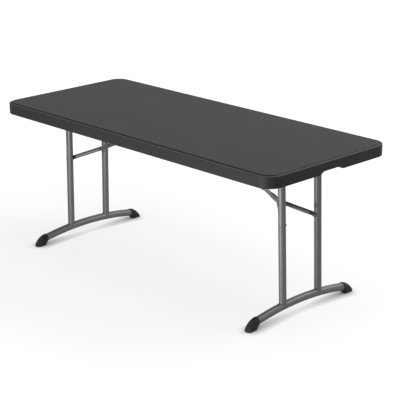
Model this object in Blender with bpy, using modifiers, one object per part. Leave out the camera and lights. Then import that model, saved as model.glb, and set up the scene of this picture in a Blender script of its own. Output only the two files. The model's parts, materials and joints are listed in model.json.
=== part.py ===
# Folding catering table: a blow-moulded top on two folding leg frames with arched feet and knee braces.
# Metres, +Z up. The origin is on the floor under the middle of the top, +X runs along the length.

import math

import bpy
import bmesh
from mathutils import Matrix

# Overall size of the standing table.
TABLE_LENGTH = 1.83
TABLE_WIDTH = 0.76
TABLE_HEIGHT = 0.74

# Moulded top: raised deck, narrow ledge, skirt all round.
CORNER_RADIUS = 0.070
DECK_THICKNESS = 0.022
DECK_STEP = 0.004
STEP_RUN = 0.003
LEDGE_WIDTH = 0.009
RIM_HEIGHT = 0.057
RIM_THICKNESS = 0.020
UPPER_EDGE_RADIUS = 0.004
LOWER_EDGE_RADIUS = 0.003

# Hand-hold notch in the lower edge of each end skirt.
NOTCH_FLAT = 0.080
NOTCH_RAMP = 0.040
NOTCH_DEPTH = 0.013

# Steel side rails, an open channel section that faces the middle of the table.
RAIL_END_INSET = 0.105
RAIL_WIDTH = 0.012
RAIL_WALL = 0.002
RAIL_DROP = 0.0165
RAIL_STANDOFF = 0.0035

# Leg hinge: a cross tube that turns in bushes in the rails.
HINGE_INSET = 0.183
HINGE_DROP = 0.021
AXLE_RADIUS = 0.010
AXLE_OVERHANG = 0.0015
BUSH_WALL = 0.0022
BUSH_FLANGE_WIDTH = 0.0015
BUSH_FLANGE_THICKNESS = 0.002

# Leg frame: two uprights on an arched foot, splayed outward from the hinge.
LEG_SPLAY = math.radians(1.5)
LEG_FOLD = math.radians(90.0)
UPRIGHT_RADIUS = 0.017
UPRIGHT_SPACING = 0.232
UPRIGHT_HEAD = 0.0105
TUBE_WALL = 0.0015
FOOT_RADIUS = 0.018
FOOT_LENGTH = 0.690
FOOT_RISE = 0.060
FOOT_ARCH_RADIUS = 1.55

# Foot caps: round at the rim, with a heel that comes down to a flat sole, and a socket for the foot tube.
CAP_LENGTH = 0.064
CAP_TIP_FLAT = 0.0022
CAP_COVER = 0.002
CAP_SOCKET = 0.018
CAP_HEEL = 0.016
CAP_SOLE_DEPTH = 1.35
CAP_SQUARENESS = 2.4
CAP_NOSE_POWER = 2.2
CAP_NOSE_SLOPE = 0.85
CAP_SIDE_POWER = 12.0
CAP_SIDE_SLOPE = 0.5

# Knee brace: a fork of two arms on the uprights, and one strut to a bracket under the deck.
# The arms are pressed flat at both ends and the strut at its lower end, which the arms hold between them.
BRACE_PIVOT_DROP = 0.273
STRUT_REACH = 0.595
STRUT_RADIUS = 0.0125
STRUT_TAIL = 0.012
STRUT_TAB_CLEARANCE = 0.034
ARM_RADIUS = 0.010
TAB_THICKNESS = 0.0036
TAB_HALF_HEIGHT = 0.0105
PIVOT_TAB_REACH = 0.014
PIVOT_TAB_END = 0.0065
KNEE_TAB_LENGTH = 0.030
KNEE_TAB_END = 0.028
PRESS_RUN = 0.016
ROUND = 2.0
PRESSED = 10.0

# Rivets, pins and screws.
RIVET_RADIUS = 0.004
RIVET_HEAD_RADIUS = 0.006
RIVET_HEAD = 0.0025
ANCHOR_RADIUS = 0.005
ANCHOR_HEAD_RADIUS = 0.008
SCREW_RADIUS = 0.002
SCREW_HEAD_RADIUS = 0.0045
SCREW_HEAD = 0.0025
SCREW_BITE = 0.012

# Strut bracket: a base plate with two ears.
BRACKET_LENGTH = 0.036
BRACKET_WIDTH = 0.080
BRACKET_WALL = 0.003
BRACKET_EAR_DROP = 0.013
BRACKET_SCREW_SPACING = 0.060

# Places of the rail screws along each rail, counted inward from the leg hinges.
RAIL_SCREW_SETBACKS = (0.182, 0.532)

# Clearance between pieces that touch, and how finely round shapes are divided.
GAP = 0.0003
CUT_MARGIN = 0.010
MERGE_DISTANCE = 0.00001
SMOOTH_ANGLE = math.radians(35.0)
CORNER_STEPS = 8
EDGE_STEPS = 2
NOTCH_STEPS = 6
TUBE_SIDES = 16
PIN_SIDES = 12
SCREW_SIDES = 8
FOOT_STEPS = 14
CAP_STEPS = 6
CAP_SIDES = 20
ARM_SIDES = 12

# Heights and places that follow from the sizes above.
DECK_UNDERSIDE = TABLE_HEIGHT - DECK_THICKNESS
RIM_BOTTOM = TABLE_HEIGHT - RIM_HEIGHT
HINGE_X = TABLE_LENGTH / 2 - HINGE_INSET
HINGE_Z = DECK_UNDERSIDE - HINGE_DROP
UPRIGHT_Y = UPRIGHT_SPACING / 2
FOOT_CENTRE = (HINGE_Z - FOOT_RISE) / math.cos(LEG_SPLAY)
RAIL_LENGTH = TABLE_LENGTH - 2 * RAIL_END_INSET
RAIL_TOP = DECK_UNDERSIDE - GAP
RAIL_BOTTOM = HINGE_Z - RAIL_DROP
RAIL_OUTER = TABLE_WIDTH / 2 - RIM_THICKNESS - RAIL_STANDOFF
RAIL_WEB = RAIL_OUTER - RAIL_WALL
BUSH_OUTER = AXLE_RADIUS + GAP + BUSH_WALL
PIVOT_TAB_Y = UPRIGHT_Y - UPRIGHT_RADIUS - GAP - TAB_THICKNESS / 2
KNEE_TAB_Y = TAB_THICKNESS + GAP
PLATE_BOTTOM = RAIL_TOP - BRACKET_WALL
SCREW_HOLE = SCREW_RADIUS + GAP

# Turns that lay a local Z axis along X, along Y or straight down.
TOWARD_PLUS_X = (math.pi / 2, 0.0, math.pi / 2)
TOWARD_MINUS_X = (math.pi / 2, 0.0, -math.pi / 2)
TOWARD_MINUS_Y = (math.pi / 2, 0.0, 0.0)
TOWARD_PLUS_Y = (-math.pi / 2, 0.0, 0.0)
TOWARD_FLOOR = (math.pi, 0.0, 0.0)
ALONG_BRACE = (0.0, math.pi / 2, 0.0)
ENDS = (("left", -1), ("right", 1))


def brace_pivot(turn):
    """The arms' pivot on a leg folded by turn, as outward distance and height."""
    lean = LEG_SPLAY - turn
    return HINGE_X + BRACE_PIVOT_DROP * math.sin(lean), HINGE_Z - BRACE_PIVOT_DROP * math.cos(lean)


# The brace is straight with the leg out and doubled up with the leg folded, which gives both lengths.
ANCHOR = (HINGE_X - STRUT_REACH, HINGE_Z)
OPEN_PIVOT = brace_pivot(0.0)
OPEN_SPAN = math.dist(ANCHOR, OPEN_PIVOT)
FOLDED_SPAN = math.dist(ANCHOR, brace_pivot(LEG_FOLD))
STRUT_LENGTH = (OPEN_SPAN + FOLDED_SPAN) / 2
FORK_LENGTH = (OPEN_SPAN - FOLDED_SPAN) / 2
BRACE_TILT = math.atan2(ANCHOR[1] - OPEN_PIVOT[1], OPEN_PIVOT[0] - ANCHOR[0])
STRUT_TAB_START = STRUT_LENGTH - max(KNEE_TAB_LENGTH, KNEE_TAB_END) - STRUT_TAB_CLEARANCE

# Each strut's upper end meets its bracket's plate when the brace is straight, so the knee cannot sag.
STRUT_HEAD = ((PLATE_BOTTOM - GAP - HINGE_Z - STRUT_RADIUS * math.cos(BRACE_TILT))
              / math.sin(BRACE_TILT))


def foot_drop(across):
    """How far the foot tube's centre line falls from its middle to a place across."""
    return FOOT_ARCH_RADIUS - math.sqrt(FOOT_ARCH_RADIUS ** 2 - across ** 2)


# Each cap starts part way along the foot and just covers the tube there.
CAP_RIM = FOOT_LENGTH / 2 - CAP_LENGTH
CAP_HALF_WIDTH = FOOT_RADIUS + CAP_COVER
CAP_HEIGHT = FOOT_RISE - foot_drop(CAP_RIM) + CAP_HALF_WIDTH
CAP_RIM_LOW = CAP_HEIGHT - 2 * CAP_HALF_WIDTH


for leftover in list(bpy.data.objects):
    bpy.data.objects.remove(leftover, do_unlink=True)

table = bpy.data.collections.new("folding_catering_table")
cutters = bpy.data.collections.new("cutters")
bpy.context.scene.collection.children.link(table)
bpy.context.scene.collection.children.link(cutters)


def make_finish(name, colour, roughness, metallic):
    finish = bpy.data.materials.new(name)
    finish.use_nodes = True
    shader = finish.node_tree.nodes["Principled BSDF"]
    shader.inputs["Base Color"].default_value = (*colour, 1.0)
    shader.inputs["Roughness"].default_value = roughness
    shader.inputs["Metallic"].default_value = metallic
    return finish


charcoal_plastic = make_finish("charcoal_plastic", (0.075, 0.075, 0.077), 0.55, 0.0)
grey_steel = make_finish("grey_powder_coat", (0.20, 0.20, 0.205), 0.40, 0.6)
rail_steel = make_finish("dark_rail_coat", (0.06, 0.06, 0.062), 0.50, 0.4)
black_plastic = make_finish("black_cap_plastic", (0.012, 0.012, 0.013), 0.45, 0.0)
zinc_steel = make_finish("zinc_steel", (0.45, 0.45, 0.46), 0.35, 1.0)


def add_empty(name, parent, location, rotation):
    empty = bpy.data.objects.new(name, None)
    empty.parent = parent
    empty.location = location
    empty.rotation_euler = rotation
    table.objects.link(empty)
    return empty


def add_part(name, mesh, finish, parent=None, location=(0, 0, 0), rotation=(0, 0, 0)):
    part = bpy.data.objects.new(name, mesh)
    part.parent = parent
    part.location = location
    part.rotation_euler = rotation
    mesh.materials.clear()
    mesh.materials.append(finish)
    table.objects.link(part)
    return part


def add_cutter(name, mesh, parent=None, location=(0, 0, 0), rotation=(0, 0, 0)):
    cutter = bpy.data.objects.new(name, mesh)
    cutter.parent = parent
    cutter.location = location
    cutter.rotation_euler = rotation
    cutter.hide_render = True
    cutter.display_type = "WIRE"
    cutters.objects.link(cutter)
    return cutter


def cut(part, cutter):
    boolean = part.modifiers.new(cutter.name, "BOOLEAN")
    boolean.operation = "DIFFERENCE"
    boolean.solver = "EXACT"
    boolean.object = cutter


def add_tube(name, mesh, parent, location=(0, 0, 0), rotation=(0, 0, 0)):
    """A steel tube from its open outer skin, with its wall inside that skin."""
    tube = add_part(name, mesh, grey_steel, parent, location, rotation)
    solidify = tube.modifiers.new("wall", "SOLIDIFY")
    solidify.thickness = TUBE_WALL
    solidify.offset = -1.0
    solidify.use_even_offset = True
    return tube


def mesh_from(name, bm):
    mesh = bpy.data.meshes.new(name)
    bm.to_mesh(mesh)
    bm.free()
    mesh.shade_smooth()
    mesh.set_sharp_from_angle(angle=SMOOTH_ANGLE)
    return mesh


def round_bar(name, radius, low, high, sides, places=((0.0, 0.0),), capped=True):
    """Round bars along Z from low to high, one at each place."""
    bm = bmesh.new()
    for x, y in places:
        middle = Matrix.Translation((x, y, (low + high) / 2))
        bmesh.ops.create_cone(bm, cap_ends=capped, segments=sides, radius1=radius, radius2=radius,
                              depth=high - low, matrix=middle)
    return mesh_from(name, bm)


def add_bore(name, radius, half_length, sides, parent, location):
    """A round cutter that lies along Y."""
    mesh = round_bar(name, radius, -half_length, half_length, sides)
    return add_cutter(name, mesh, parent, location, TOWARD_MINUS_Y)


def skin(name, rings):
    """A closed skin through rings that have the same number of points."""
    bm = bmesh.new()
    rows = [[bm.verts.new(point) for point in ring] for ring in rings]
    for row, following in zip(rows, rows[1:]):
        for here in range(len(row)):
            ahead = (here + 1) % len(row)
            bm.faces.new((row[here], row[ahead], following[ahead], following[here]))
    bm.faces.new(rows[0])
    bm.faces.new(rows[-1])
    bmesh.ops.recalc_face_normals(bm, faces=bm.faces)
    return mesh_from(name, bm)


def mesh_of_curve(name, curve, closed):
    """The mesh of a curve, welded, with its open ends filled if it is to be closed."""
    holder = bpy.data.objects.new(name, curve)
    table.objects.link(holder)
    bpy.context.view_layer.update()
    evaluated = holder.evaluated_get(bpy.context.evaluated_depsgraph_get())
    mesh = bpy.data.meshes.new_from_object(evaluated)
    bpy.data.objects.remove(holder, do_unlink=True)
    bm = bmesh.new()
    bm.from_mesh(mesh)
    bpy.data.meshes.remove(mesh)
    bmesh.ops.remove_doubles(bm, verts=bm.verts, dist=MERGE_DISTANCE)
    if closed:
        bmesh.ops.holes_fill(bm, edges=[edge for edge in bm.edges if edge.is_boundary])
    bmesh.ops.recalc_face_normals(bm, faces=bm.faces)
    return mesh_from(name, bm)


def extruded(name, outline, length):
    """A flat outline drawn out along Z, half its length each way."""
    curve = bpy.data.curves.new(name, "CURVE")
    curve.dimensions = "2D"
    curve.fill_mode = "NONE"
    curve.extrude = length / 2
    spline = curve.splines.new("POLY")
    spline.points.add(len(outline) - 1)
    for point, (across, up) in zip(spline.points, outline):
        point.co = (across, up, 0.0, 1.0)
    spline.use_cyclic_u = True
    return mesh_of_curve(name, curve, True)


def bent_tube(name, path, radius, closed):
    """A round tube of TUBE_SIDES sides along a path of points."""
    curve = bpy.data.curves.new(name, "CURVE")
    curve.dimensions = "3D"
    curve.bevel_depth = radius
    curve.bevel_resolution = TUBE_SIDES // 2 - 2
    spline = curve.splines.new("POLY")
    spline.points.add(len(path) - 1)
    for point, place in zip(spline.points, path):
        point.co = (*place, 1.0)
    return mesh_of_curve(name, curve, closed)


def add_turned(name, profile, sides, finish, parent=None, location=(0, 0, 0), rotation=(0, 0, 0),
               closed=False):
    """A piece turned about Z from radius and height pairs that run down its outer side."""
    edges = [(here, here + 1) for here in range(len(profile) - 1)]
    if closed:
        edges.append((len(profile) - 1, 0))
    mesh = bpy.data.meshes.new(name)
    mesh.from_pydata([(radius, 0.0, height) for radius, height in profile], edges, [])
    part = add_part(name, mesh, finish, parent, location, rotation)
    screw = part.modifiers.new("turn", "SCREW")
    screw.axis = "Z"
    screw.angle = 2 * math.pi
    screw.steps = sides
    screw.render_steps = sides
    screw.use_merge_vertices = True
    screw.merge_threshold = MERGE_DISTANCE
    return part


def rivet_profile(radius, head_radius, head, grip):
    """A shank from 0 down to minus grip, with a head above and a head below."""
    return [(0.0, head), (head_radius, head), (head_radius, 0.0), (radius, 0.0), (radius, -grip),
            (head_radius, -grip), (head_radius, -grip - head), (0.0, -grip - head)]


def stud_profile(radius, head_radius, head, shank):
    """A head above 0 and a plain shank below it."""
    return [(0.0, head), (head_radius, head), (head_radius, 0.0), (radius, 0.0), (radius, -shank),
            (0.0, -shank)]


def side_name(world_y):
    return "front" if world_y < 0 else "back"


def rounded_rectangle(inset, height):
    """The top's outline, moved in by inset, as points around it at one height."""
    radius = CORNER_RADIUS - inset
    points = []
    for corner, (side_x, side_y) in enumerate(((1, 1), (-1, 1), (-1, -1), (1, -1))):
        centre_x = side_x * (TABLE_LENGTH / 2 - CORNER_RADIUS)
        centre_y = side_y * (TABLE_WIDTH / 2 - CORNER_RADIUS)
        for step in range(CORNER_STEPS + 1):
            angle = (corner + step / CORNER_STEPS) * math.pi / 2
            points.append((centre_x + radius * math.cos(angle), centre_y + radius * math.sin(angle), height))
    return points


def tabletop_rings():
    ledge_height = TABLE_HEIGHT - DECK_STEP
    rings = [(LEDGE_WIDTH + STEP_RUN, TABLE_HEIGHT), (LEDGE_WIDTH, ledge_height)]
    for step in range(EDGE_STEPS + 1):
        angle = step / EDGE_STEPS * math.pi / 2
        rings.append((UPPER_EDGE_RADIUS * (1 - math.sin(angle)),
                      ledge_height - UPPER_EDGE_RADIUS * (1 - math.cos(angle))))
    rings.append((0.0, RIM_BOTTOM + LOWER_EDGE_RADIUS))
    rings.append((LOWER_EDGE_RADIUS, RIM_BOTTOM))
    rings.append((RIM_THICKNESS - LOWER_EDGE_RADIUS, RIM_BOTTOM))
    rings.append((RIM_THICKNESS, RIM_BOTTOM + LOWER_EDGE_RADIUS))
    rings.append((RIM_THICKNESS, DECK_UNDERSIDE))
    return [rounded_rectangle(inset, height) for inset, height in rings]


def notch_outline():
    """The hand-hold's section: smooth ramps up to a flat, open below the rim."""
    foot = NOTCH_FLAT / 2 + NOTCH_RAMP
    rising = []
    for step in range(NOTCH_STEPS + 1):
        share = step / NOTCH_STEPS
        lift = NOTCH_DEPTH * (1 - math.cos(math.pi * share)) / 2
        rising.append((-foot + NOTCH_RAMP * share, RIM_BOTTOM + lift))
    falling = [(-across, up) for across, up in reversed(rising)]
    return [(-foot, RIM_BOTTOM - CUT_MARGIN), *rising, *falling, (foot, RIM_BOTTOM - CUT_MARGIN)]


# Moulded top with its hand-holds and screw holes.
tabletop = add_part("tabletop", skin("tabletop", tabletop_rings()), charcoal_plastic)
for end, sign in ENDS:
    notch_name = f"{end}_notch_cutter"
    notch_mesh = extruded(notch_name, notch_outline(), 2 * (RIM_THICKNESS + CUT_MARGIN))
    cut(tabletop, add_cutter(notch_name, notch_mesh, None, (sign * TABLE_LENGTH / 2, 0, 0), TOWARD_PLUS_X))

rail_screw_y = RAIL_WEB - (RAIL_WIDTH - RAIL_WALL) / 2
rail_screw_places = [(sign_x * (HINGE_X - setback), sign_y * rail_screw_y)
                     for sign_y in (-1, 1) for setback in RAIL_SCREW_SETBACKS for sign_x in (-1, 1)]
bracket_screw_places = [(sign_x * ANCHOR[0], sign_y * BRACKET_SCREW_SPACING / 2)
                        for sign_x in (-1, 1) for sign_y in (-1, 1)]
screw_holes = add_cutter("screw_hole_cutter", round_bar(
    "screw_hole_cutter", SCREW_HOLE, DECK_UNDERSIDE - CUT_MARGIN, DECK_UNDERSIDE + SCREW_BITE + GAP,
    SCREW_SIDES, rail_screw_places + bracket_screw_places))
cut(tabletop, screw_holes)

# Side rails, bored for the axle bushes.
axle_bores = add_cutter("axle_bore_cutter", round_bar(
    "axle_bore_cutter", BUSH_OUTER + GAP, -TABLE_WIDTH / 2, TABLE_WIDTH / 2, TUBE_SIDES,
    [(-HINGE_X, 0.0), (HINGE_X, 0.0)]), None, (0, 0, HINGE_Z), TOWARD_MINUS_Y)
lip = RAIL_OUTER - RAIL_WIDTH
rail_outline = [(lip, RAIL_TOP), (lip, RAIL_TOP - RAIL_WALL), (RAIL_WEB, RAIL_TOP - RAIL_WALL),
                (RAIL_WEB, RAIL_BOTTOM + RAIL_WALL), (lip, RAIL_BOTTOM + RAIL_WALL), (lip, RAIL_BOTTOM),
                (RAIL_OUTER, RAIL_BOTTOM), (RAIL_OUTER, RAIL_TOP)]
for side, turn in (("front", TOWARD_MINUS_X), ("back", TOWARD_PLUS_X)):
    rail = add_part(f"{side}_rail", extruded(f"{side}_rail", rail_outline, RAIL_LENGTH), rail_steel, None,
                    (0, 0, 0), turn)
    cut(rail, axle_bores)
    cut(rail, screw_holes)

# Flanged bushes, pushed into the rail webs from the inside.
bush_inner = AXLE_RADIUS + GAP
bush_flange = BUSH_OUTER + BUSH_FLANGE_WIDTH
bush_end = -GAP - BUSH_FLANGE_THICKNESS
bush_profile = [(BUSH_OUTER, RAIL_WALL), (BUSH_OUTER, -GAP), (bush_flange, -GAP), (bush_flange, bush_end),
                (bush_inner, bush_end), (bush_inner, RAIL_WALL)]
for end, sign in ENDS:
    for side_y, turn in ((-1, TOWARD_MINUS_Y), (1, TOWARD_PLUS_Y)):
        add_turned(f"{end}_{side_name(side_y)}_axle_bush", bush_profile, TUBE_SIDES, black_plastic, None,
                   (sign * HINGE_X, side_y * RAIL_WEB, HINGE_Z), turn, closed=True)

# Screws up through the rails and the brackets into the deck.
for group, places, wall in (("rail", rail_screw_places, RAIL_WALL),
                            ("bracket", bracket_screw_places, BRACKET_WALL)):
    seat = RAIL_TOP - wall - GAP
    screw_profile = stud_profile(SCREW_RADIUS, SCREW_HEAD_RADIUS, SCREW_HEAD,
                                 DECK_UNDERSIDE + SCREW_BITE - seat)
    for number, (place_x, place_y) in enumerate(places, start=1):
        add_turned(f"{group}_screw_{number}", screw_profile, SCREW_SIDES, zinc_steel, None,
                   (place_x, place_y, seat), TOWARD_FLOOR)

# Strut brackets with their anchor pins.
ear_inner = STRUT_RADIUS + GAP
ear_outer = ear_inner + BRACKET_WALL
ear_bottom = HINGE_Z - BRACKET_EAR_DROP
half_bracket = [(BRACKET_WIDTH / 2, RAIL_TOP), (BRACKET_WIDTH / 2, PLATE_BOTTOM), (ear_outer, PLATE_BOTTOM),
                (ear_outer, ear_bottom), (ear_inner, ear_bottom), (ear_inner, PLATE_BOTTOM)]
bracket_outline = half_bracket + [(-across, up) for across, up in reversed(half_bracket)]
anchor_reach = ear_outer + GAP
anchor_profile = rivet_profile(ANCHOR_RADIUS, ANCHOR_HEAD_RADIUS, RIVET_HEAD, 2 * anchor_reach)
for end, sign in ENDS:
    bracket_name = f"{end}_strut_bracket"
    bracket_mesh = extruded(bracket_name, bracket_outline, BRACKET_LENGTH)
    bracket = add_part(bracket_name, bracket_mesh, rail_steel, None, (sign * ANCHOR[0], 0, 0), TOWARD_PLUS_X)
    cut(bracket, add_bore(f"{end}_anchor_bore_cutter", ANCHOR_RADIUS + GAP, BRACKET_WIDTH / 2, PIN_SIDES,
                          None, (sign * ANCHOR[0], 0, ANCHOR[1])))
    cut(bracket, screw_holes)
    add_turned(f"{end}_anchor_pin", anchor_profile, PIN_SIDES, zinc_steel, None,
               (sign * ANCHOR[0], -anchor_reach, ANCHOR[1]), TOWARD_MINUS_Y)


def foot_path(reach):
    """Points along the arched foot, in the leg's own frame."""
    places = [reach * (2 * step / FOOT_STEPS - 1) for step in range(FOOT_STEPS + 1)]
    return [(0.0, across, -FOOT_CENTRE - foot_drop(across)) for across in places]


def oval(angle, squareness):
    """A point on an oval of half size 1, round at 2 and nearly square at high values."""
    across = math.copysign(abs(math.cos(angle)) ** (2 / squareness), math.cos(angle))
    up = math.copysign(abs(math.sin(angle)) ** (2 / squareness), math.sin(angle))
    return across, up


def cap_rings(side):
    """Sections of a foot cap from its rim over its heel to its nose, upright, with the sole on the floor."""
    heel = CAP_HEEL / CAP_LENGTH
    nose = 1 - CAP_TIP_FLAT / CAP_LENGTH - heel
    stations = [(0.0, CAP_RIM_LOW, 1.0)]
    for step in range(CAP_STEPS + 1):
        stations.append((heel + nose * math.sin(step / CAP_STEPS * math.pi / 2), 0.0, CAP_SOLE_DEPTH))
    rings = []
    for share, low, depth in stations:
        half_height = (CAP_HEIGHT * (1 - share ** CAP_NOSE_POWER) ** CAP_NOSE_SLOPE - low) / 2
        half_width = CAP_HALF_WIDTH * (1 - share ** CAP_SIDE_POWER) ** CAP_SIDE_SLOPE
        place = side * (CAP_RIM + CAP_LENGTH * share)
        middle = (HINGE_Z - FOOT_RISE + foot_drop(place)) * math.tan(LEG_SPLAY)
        ring = []
        for turn in range(CAP_SIDES):
            across, up = oval(2 * math.pi * turn / CAP_SIDES, CAP_SQUARENESS)
            lift = half_height * (1 + up * (1 if up > 0 else depth))
            ring.append((middle + half_width * across, place, low + max(lift, 0.0) - HINGE_Z))
        rings.append(ring)
    return rings


def bar_ring(x, y, half_thickness, half_height, heading, squareness):
    """One section of an arm or a strut, square to its heading in plan."""
    ring = []
    for turn in range(ARM_SIDES):
        across, up = oval(2 * math.pi * turn / ARM_SIDES, squareness)
        sideways = half_thickness * across
        ring.append((x - sideways * math.sin(heading), y + sideways * math.cos(heading), half_height * up))
    return ring


def tab_ring(x, y):
    """One section of an arm or a strut where it is pressed flat."""
    return bar_ring(x, y, TAB_THICKNESS / 2, TAB_HALF_HEIGHT, 0.0, PRESSED)


def arm_rings(side):
    """A brace arm from its pivot tab to its knee tab, in the fork's frame."""
    pivot_y = side * PIVOT_TAB_Y
    knee_y = side * KNEE_TAB_Y
    start = PIVOT_TAB_REACH
    finish = FORK_LENGTH - KNEE_TAB_LENGTH
    heading = math.atan2(knee_y - pivot_y, finish - start)
    run = PRESS_RUN * math.cos(heading)
    rise = PRESS_RUN * math.sin(heading)
    return [tab_ring(-PIVOT_TAB_END, pivot_y),
            tab_ring(start, pivot_y),
            bar_ring(start + run, pivot_y + rise, ARM_RADIUS, ARM_RADIUS, heading, ROUND),
            bar_ring(finish - run, knee_y - rise, ARM_RADIUS, ARM_RADIUS, heading, ROUND),
            tab_ring(finish, knee_y),
            tab_ring(FORK_LENGTH + KNEE_TAB_END, knee_y)]


def strut_rings():
    """A strut from its upper end to its lower tab, in its own frame."""
    return [bar_ring(-STRUT_HEAD, 0.0, STRUT_RADIUS, STRUT_RADIUS, 0.0, ROUND),
            bar_ring(STRUT_TAB_START - PRESS_RUN, 0.0, STRUT_RADIUS, STRUT_RADIUS, 0.0, ROUND),
            tab_ring(STRUT_TAB_START, 0.0),
            tab_ring(STRUT_LENGTH + STRUT_TAIL, 0.0)]


axle_half = RAIL_OUTER + AXLE_OVERHANG
foot_reach = CAP_RIM + CAP_SOCKET
upright_foot = -FOOT_CENTRE - foot_drop(UPRIGHT_Y)
rivet_place = UPRIGHT_Y + UPRIGHT_RADIUS + GAP
rivet_grip = TAB_THICKNESS + 2 * UPRIGHT_RADIUS + 3 * GAP
brace_rivet_profile = rivet_profile(RIVET_RADIUS, RIVET_HEAD_RADIUS, RIVET_HEAD, rivet_grip)
knee_rivet_profile = stud_profile(RIVET_RADIUS, RIVET_HEAD_RADIUS, RIVET_HEAD, GAP + TAB_THICKNESS)
knee_reach = KNEE_TAB_Y + TAB_THICKNESS / 2 + GAP

# Two leg frames with their braces: the left one is the right one turned about.
for end, sign in ENDS:
    end_frame = add_empty(f"{end}_end", None, (0, 0, 0), (0, 0, 0 if sign > 0 else math.pi))
    leg_pivot = add_empty(f"{end}_leg_pivot", end_frame, (HINGE_X, 0, HINGE_Z), (0, -LEG_SPLAY, 0))
    fork_pivot = add_empty(f"{end}_fork_pivot", end_frame, (OPEN_PIVOT[0], 0, OPEN_PIVOT[1]),
                           (0, -BRACE_TILT, math.pi))
    strut_pivot = add_empty(f"{end}_strut_pivot", end_frame, (ANCHOR[0], 0, ANCHOR[1]), (0, BRACE_TILT, 0))

    axle_name = f"{end}_leg_axle"
    axle_mesh = round_bar(axle_name, AXLE_RADIUS, -axle_half, axle_half, TUBE_SIDES, capped=False)
    add_tube(axle_name, axle_mesh, leg_pivot, (0, 0, 0), TOWARD_MINUS_Y)

    foot_name = f"{end}_foot_tube"
    add_tube(foot_name, bent_tube(foot_name, foot_path(foot_reach), FOOT_RADIUS, False), leg_pivot)

    foot_cutter_name = f"{end}_foot_cutter"
    foot_cutter = add_cutter(foot_cutter_name, bent_tube(
        foot_cutter_name, foot_path(foot_reach + GAP), FOOT_RADIUS + GAP, True), leg_pivot)
    axle_bore = add_bore(f"{end}_axle_cutter", AXLE_RADIUS + GAP, axle_half, TUBE_SIDES, leg_pivot,
                         (0, 0, 0))
    rivet_bore = add_bore(f"{end}_rivet_cutter", RIVET_RADIUS + GAP, axle_half, PIN_SIDES, leg_pivot,
                          (0, 0, -BRACE_PIVOT_DROP))
    knee_bore = add_bore(f"{end}_knee_cutter", RIVET_RADIUS + GAP, UPRIGHT_Y, PIN_SIDES, fork_pivot,
                         (FORK_LENGTH, 0, 0))
    strut_bore = add_bore(f"{end}_strut_cutter", ANCHOR_RADIUS + GAP, UPRIGHT_Y, PIN_SIDES, strut_pivot,
                          (0, 0, 0))

    for side, outward in ((-1, TOWARD_MINUS_Y), (1, TOWARD_PLUS_Y)):
        leg_side = f"{end}_{side_name(side * sign)}"
        upright_name = f"{leg_side}_upright"
        upright_mesh = round_bar(upright_name, UPRIGHT_RADIUS, upright_foot, UPRIGHT_HEAD, TUBE_SIDES,
                                 capped=False)
        upright = add_tube(upright_name, upright_mesh, leg_pivot, (0, side * UPRIGHT_Y, 0))
        cut(upright, foot_cutter)
        cut(upright, axle_bore)
        cut(upright, rivet_bore)

        cap_name = f"{leg_side}_foot_cap"
        cap = add_part(cap_name, skin(cap_name, cap_rings(side)), black_plastic, leg_pivot, (0, 0, 0),
                       (0, LEG_SPLAY, 0))
        cut(cap, foot_cutter)

        add_turned(f"{leg_side}_brace_rivet", brace_rivet_profile, PIN_SIDES, zinc_steel, leg_pivot,
                   (0, side * rivet_place, -BRACE_PIVOT_DROP), outward)

        fork_side = f"{end}_{side_name(-side * sign)}"
        arm_name = f"{fork_side}_brace_arm"
        arm = add_part(arm_name, skin(arm_name, arm_rings(side)), grey_steel, fork_pivot)
        cut(arm, rivet_bore)
        cut(arm, knee_bore)
        add_turned(f"{fork_side}_knee_rivet", knee_rivet_profile, PIN_SIDES, zinc_steel, fork_pivot,
                   (FORK_LENGTH, side * knee_reach, 0), outward)

    strut_name = f"{end}_brace_strut"
    strut = add_part(strut_name, skin(strut_name, strut_rings()), grey_steel, strut_pivot)
    hollow_name = f"{end}_strut_hollow_cutter"
    hollow_mesh = round_bar(hollow_name, STRUT_RADIUS - TUBE_WALL, -STRUT_HEAD - CUT_MARGIN,
                            STRUT_TAB_START - PRESS_RUN, TUBE_SIDES)
    cut(strut, add_cutter(hollow_name, hollow_mesh, strut_pivot, (0, 0, 0), ALONG_BRACE))
    cut(strut, strut_bore)
    cut(strut, knee_bore)
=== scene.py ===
import json
import math

import bmesh
import bpy
from mathutils import Matrix, Vector


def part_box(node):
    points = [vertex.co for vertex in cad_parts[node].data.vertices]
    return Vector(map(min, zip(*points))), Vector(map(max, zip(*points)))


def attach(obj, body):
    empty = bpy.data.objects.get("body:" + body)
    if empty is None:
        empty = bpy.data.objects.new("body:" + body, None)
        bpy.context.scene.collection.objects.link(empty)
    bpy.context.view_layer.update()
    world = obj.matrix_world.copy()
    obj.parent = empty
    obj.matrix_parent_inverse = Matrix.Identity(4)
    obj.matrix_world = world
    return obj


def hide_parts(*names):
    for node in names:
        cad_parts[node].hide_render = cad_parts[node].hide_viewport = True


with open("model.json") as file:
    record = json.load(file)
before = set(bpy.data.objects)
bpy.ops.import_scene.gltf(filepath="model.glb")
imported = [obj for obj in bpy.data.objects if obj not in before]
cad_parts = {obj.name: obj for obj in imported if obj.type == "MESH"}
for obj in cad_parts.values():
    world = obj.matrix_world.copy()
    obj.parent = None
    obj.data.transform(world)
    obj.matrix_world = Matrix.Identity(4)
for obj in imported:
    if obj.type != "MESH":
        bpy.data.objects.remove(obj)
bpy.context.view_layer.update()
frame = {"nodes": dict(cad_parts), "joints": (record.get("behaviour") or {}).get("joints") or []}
pivots = {joint["name"]: Vector(joint["pos_m"]) for joint in frame["joints"]}


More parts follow.
